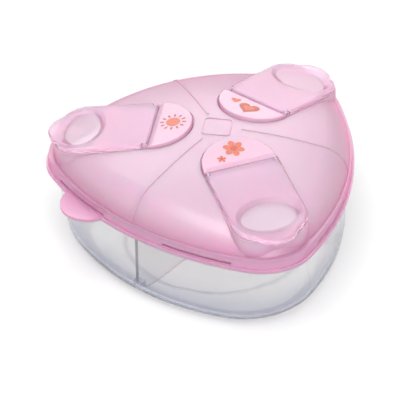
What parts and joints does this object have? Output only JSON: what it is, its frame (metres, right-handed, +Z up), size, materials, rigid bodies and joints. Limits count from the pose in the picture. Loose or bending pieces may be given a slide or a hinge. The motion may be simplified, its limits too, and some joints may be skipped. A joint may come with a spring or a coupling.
{
  "type": "formula dispenser",
  "caption": "Rounded-triangle travel dispenser for milk powder: clear tub, lift-out divider and domed lid with hinged spout flaps.",
  "frame": {"origin": "centre of the tub's flat foot, on the surface that it stands on, under the middle of the dome", "axes": "+Z up through the dome; -Y towards the corner with flap 1; the other corners lie 30 and 150 degrees from +X towards +Y"},
  "size_m": [0.1406, 0.1345, 0.0609],
  "materials": {
    "clear_tub": "clear, polished",
    "clear_divider": "clear, satin",
    "pink_lid": "translucent pink, soft gloss",
    "pink_plate": "translucent pink, soft gloss",
    "pink_flap": "translucent pink, soft gloss"
  },
  "bodies": {
    "base": {"base_container": "clear_tub"},
    "divider": {"divider_insert": "clear_divider"},
    "lid": {"lid_shell": "pink_lid", "hinge_plate_1": "pink_plate", "hinge_plate_2": "pink_plate", "hinge_plate_3": "pink_plate"},
    "flap_1": {"spout_flap_1": "pink_flap"},
    "flap_2": {"spout_flap_2": "pink_flap"},
    "flap_3": {"spout_flap_3": "pink_flap"}
  },
  "joints": [
    {"name": "lid_lift", "type": "slide", "parent": "base", "child": "lid", "axis": [0, 0, 1], "range_m": [0, 0.1]},
    {"name": "divider_lift", "type": "slide", "parent": "base", "child": "divider", "axis": [0, 0, 1], "range_m": [0, 0.045]},
    {"name": "flap_1_hinge", "type": "hinge", "parent": "lid", "child": "flap_1", "pos_m": [0, -0.0289, 0.057], "axis": [-1, 0, 0], "range_deg": [0, 110]},
    {"name": "flap_2_hinge", "type": "hinge", "parent": "lid", "child": "flap_2", "pos_m": [0.02503, 0.01445, 0.057], "axis": [0.5, -0.866, 0], "range_deg": [0, 110]},
    {"name": "flap_3_hinge", "type": "hinge", "parent": "lid", "child": "flap_3", "pos_m": [-0.02503, 0.01445, 0.057], "axis": [0.5, 0.866, 0], "range_deg": [0, 110]}
  ],
  "couplings": [
    {"joint": "divider_lift", "follows": "lid_lift", "ratio": 0.45}
  ]
}
